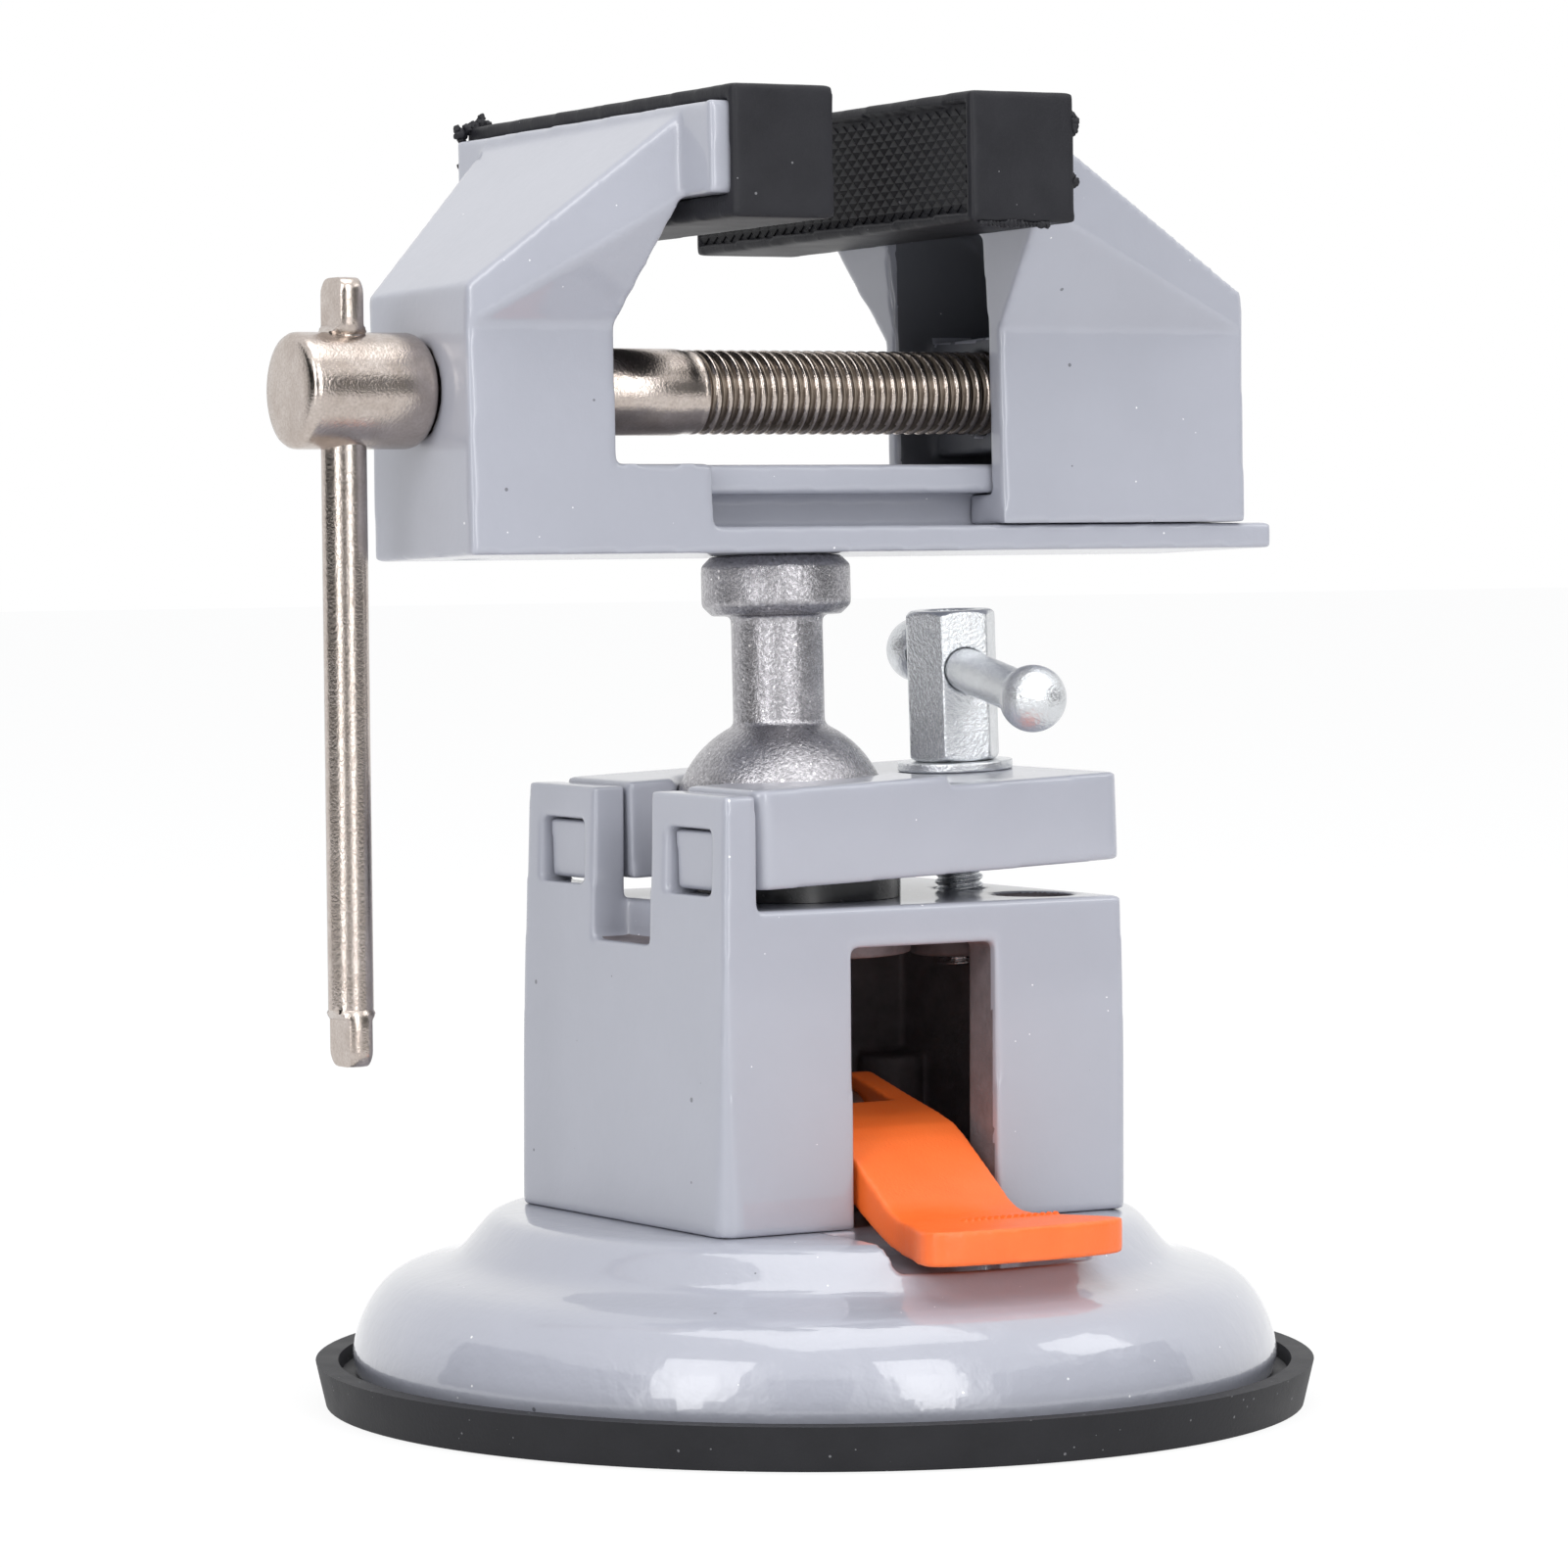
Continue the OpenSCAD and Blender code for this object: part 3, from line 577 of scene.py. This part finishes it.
def diamond_field(name, face_x, out, body):
    """The raised diamonds of a pad's gripping face, at that X in the pads' frame, standing out along X."""
    pitch_y, pitch_z, tall, sunk = 0.00215, 0.00172, 0.0006, 0.0008
    low, high, half, tip_sunk = 0.0709, 0.0833, 0.0318, 0.00002
    field = bmesh.new()
    rows = round((high - low) / pitch_z)
    columns = round(2 * half / pitch_y)
    for row in range(2 * rows - 1):
        for column in range(columns - row % 2):
            y = -half + pitch_y * (column + 0.5 + 0.5 * (row % 2))
            z = low + pitch_z * 0.5 * (row + 1)
            tip = field.verts.new((face_x - out * tip_sunk, y, z))
            rim = [field.verts.new((face_x - out * tall, y + dy * pitch_y * 0.5, z + dz * pitch_z * 0.5))
                   for dy, dz in ((-1, 0), (0, -1), (1, 0), (0, 1))]
            foot = [field.verts.new((face_x - out * sunk, v.co.y, v.co.z)) for v in rim]
            for k in range(4):
                field.faces.new((rim[k], rim[(k + 1) % 4], tip))
                field.faces.new((foot[k], foot[(k + 1) % 4], rim[(k + 1) % 4], rim[k]))
            field.faces.new(foot)
    bmesh.ops.recalc_face_normals(field, faces=field.faces)
    field.transform(pad_frame)
    built(name, field, sharp_rubber, body)


to_pad = pad_frame.inverted()
field_half, field_low, field_high, field_deep, face_skin = 0.0319, 0.0707, 0.0835, 0.00075, 0.0004
fixed_face_x, moving_face_x = -0.0098, 0.00845
for node, face_x, out in (("fixed_jaw_pad", fixed_face_x, 1), ("moving_jaw_pad", moving_face_x, -1)):
    cap = moulded(node, node + "_cap", jaw_rubber, grid=0.0003, rounds=26)
    for vertex in cap.data.vertices:
        local = to_pad @ vertex.co
        if abs(local.x - face_x) < face_skin and abs(local.y) < field_half and field_low < local.z < field_high:
            local.x = face_x - out * field_deep
            vertex.co = pad_frame @ local
    diamond_field(node + "_diamonds", face_x, out, body_of(frame["nodes"][node])[0])


def flash(name, blobs, body):
    """Crumbs of rubber from the mould's joint, each as (x, y, z, radius) in millimetres in the pads' frame."""
    crumbs = bmesh.new()
    for x, y, z, radius in blobs:
        made = bmesh.ops.create_icosphere(crumbs, subdivisions=3, radius=1.0)["verts"]
        for vertex in made:
            lump = 1 + 0.5 * noise.noise(vertex.co * 1.7 + Vector((x, y, z)))
            vertex.co = (vertex.co * radius * lump + Vector((x, y, z))) * 0.001
    crumbs.transform(pad_frame)
    built(name, crumbs, jaw_rubber, body).data.shade_smooth()


flash("fixed_pad_flash", (
    (-24.2, 32.6, 83.9, 0.8), (-24.7, 32.6, 84.6, 0.5), (-24.1, 32.6, 83.2, 0.5), (-21.5, 32.5, 85.3, 0.8),
    (-21.4, 32.5, 86.0, 0.5), (-22.6, 32.4, 84.9, 0.7), (-23.3, 32.4, 84.6, 0.7), (-20.7, 32.4, 85.2, 0.6),
    (-24.3, 32.6, 80.1, 0.4), (-24.2, 32.6, 79.6, 0.3)), body_of(frame["nodes"]["fixed_jaw_pad"])[0])
random.seed(4)
flash("moving_pad_flash", (
    (22.7, -32.4, 82.2, 0.5), (22.9, -32.4, 81.5, 0.75), (22.9, -32.4, 80.7, 0.7), (22.7, -32.4, 80.1, 0.45),
    (22.7, -32.4, 75.1, 0.4), (22.9, -32.4, 74.5, 0.6), (22.7, -32.4, 74.0, 0.4),
    *((10.0 + 0.55 * k, -32.6, 69.45, random.uniform(0.3, 0.55)) for k in range(17))),
    body_of(frame["nodes"]["moving_jaw_pad"])[0])

# ---- The moving jaw ----
# The sliding metal casting in satin enamel hooks under the rail. It is hollow, and inside, round its threaded
# boss, the same grey enamel is darkened as painted shade.

moving_jaw = moulded("moving_jaw", "moving_jaw_casting", satin_enamel, rounds=6)
# A darker copy of the satin enamel: painted shade for the deep hollow.
shaded_hollow_enamel = enamel_of("hollow painted shade", (0.13, 0.135, 0.155), 0.5, 0.00008, 1.6)


def inside_jaw(p, n):
    """True for the hollow of the moving jaw, and not for the slope above it."""
    half_y, front_x, back_x, roof_z, steepest = 0.0114, 0.0245, 0.0565, 0.0716, 0.3
    to_head = head_frame.inverted()
    local = to_head @ (p * 0.001)
    facing = to_head.to_3x3() @ n
    return abs(local.y) < half_y and front_x < local.x < back_x and local.z < roof_z and facing.z < steepest


lined(moving_jaw, inside_jaw, shaded_hollow_enamel)

# ---- The vise screw, its retaining pin and its handle ----
# Nickel plated steel. The M10 thread is rolled, and its root is darkened with painted shade. A pin in its groove
# keeps the screw in the head, and the sliding handle has a flattened end on each side.

nickel_plate, tree, shader = finish_of("nickel plate", 0.2, 1.0)
cloud = placed(tree, clouds, Size_mm=3.0).outputs[0]
fine_cloud = placed(tree, clouds, Size_mm=0.35).outputs[0]
tone = tinted(tree, cloud, (0.42, 0.35, 0.3), (0.84, 0.77, 0.73))
grained = tinted(tree, between(tree, fine_cloud, 0.0, 0.7), tone, (0.3, 0.25, 0.215))
tree.links.new(grained, shader.inputs["Base Color"])
tree.links.new(between(tree, fine_cloud, 0.1, 0.26), shader.inputs["Roughness"])
raised(tree, shader, fine_cloud, 0.00004)

screw_frame = head_frame @ Matrix.Translation((0, 0, 0.0515)) @ Matrix.Rotation(math.radians(1.5), 4, "X")
screw_profile = [(x, plain(r)) for x, r in (
    (-0.0638, 0.0001), (-0.0638, 0.0040), (-0.06375, 0.0058), (-0.0635, 0.0064), (-0.0631, 0.00668),
    (-0.0625, 0.00675), (-0.0606, 0.00675), (-0.0567, 0.00675), (-0.0530, 0.00675), (-0.0489, 0.00675),
    (-0.0483, 0.0066), (-0.0478, 0.0063), (-0.0474, 0.0058), (-0.0472, 0.00515), (-0.0460, 0.00515),
    (-0.03966, 0.00515), (-0.03965, 0.0039), (-0.03635, 0.0039), (-0.03634, 0.00515), (-0.0139, 0.00515),
    (-0.0134, 0.00512), (-0.0128, 0.00504), (-0.0122, 0.00495))]
x, thread_end, thread_step = -0.0118, 0.0610, 0.000125
while x < thread_end:
    screw_profile.append((x, thread_radius(x, pitch=0.0015, crest=0.00503, depth=0.00062, start=-0.0120,
                                           end=0.0618, run_out=0.0022)))
    x += thread_step
screw_profile += [(0.0612, plain(0.0048)), (0.0620, plain(0.0040)), (0.0620, plain(0.0001))]
screw = turned("screw_and_thread", screw_profile, 72, body_of(frame["nodes"]["vise_screw"])[0], "vise_screw",
               nickel_plate, screw_frame)
# Painted shade: a dark colour for the faces down in the thread's root.
thread_root_shade, tree, shader = finish_of("thread root painted shade", 0.35, 1.0)
cloud = placed(tree, clouds, Size_mm=1.2).outputs[0]
tree.links.new(tinted(tree, cloud, (0.1, 0.08, 0.062), (0.3, 0.25, 0.21)), shader.inputs["Base Color"])
screw.data.materials.append(thread_root_shade)
to_screw = screw_frame.inverted()
thread_start, root_radius = -0.0115, 0.00478
for face in screw.data.polygons:
    local = to_screw @ face.center
    if local.x > thread_start and math.hypot(local.y, local.z) < root_radius:
        face.material_index = 1
dress("screw_retainer", bright_steel)


def bar_section(up, bar_radius=0.00265, half_width=0.0031, half_thick=0.00145, press=0.0054, ramp=0.0012):
    """The half width along Y and the half thickness along X at that distance from the nearer end."""
    pressed = min(1.0, max(0.0, (press + ramp - up) / ramp))
    wide = bar_radius + (half_width - bar_radius) * pressed ** 0.5
    thick = bar_radius + (half_thick - bar_radius) * pressed
    blunt = min(1.0, up / 0.0016)
    return wide * (0.55 + 0.45 * math.sqrt(1 - (1 - blunt) ** 2)), thick * (0.8 + 0.2 * blunt)


heights = [0.0, 0.0001, 0.0003, 0.0006, 0.001, 0.0014, 0.002, 0.003, 0.0042, 0.0054, 0.0058, 0.0062, 0.0066, 0.0072,
           0.02, 0.0455]
bar_long, bar_foot, head_x, facets = 0.091, 0.078, -0.0568, 40
bar = bmesh.new()
rings = []
for up, z in [(h, h) for h in heights] + [(h, bar_long - h) for h in reversed(heights[:-1])]:
    wide, thick = bar_section(up)
    rings.append([bar.verts.new((min(thick, max(-thick, wide * math.cos(a))), wide * math.sin(a), z - bar_foot))
                  for a in (2 * math.pi * (k + 0.5) / facets for k in range(facets))])
skinned(bar, rings)
bar.transform(screw_frame @ Matrix.Translation((head_x, 0, 0)))
handle = built("handle_bar", bar, nickel_plate, body_of(frame["nodes"]["vise_handle"])[0])
handle.data.shade_smooth()
handle.data.set_sharp_from_angle(angle=math.radians(32))
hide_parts("vise_handle")
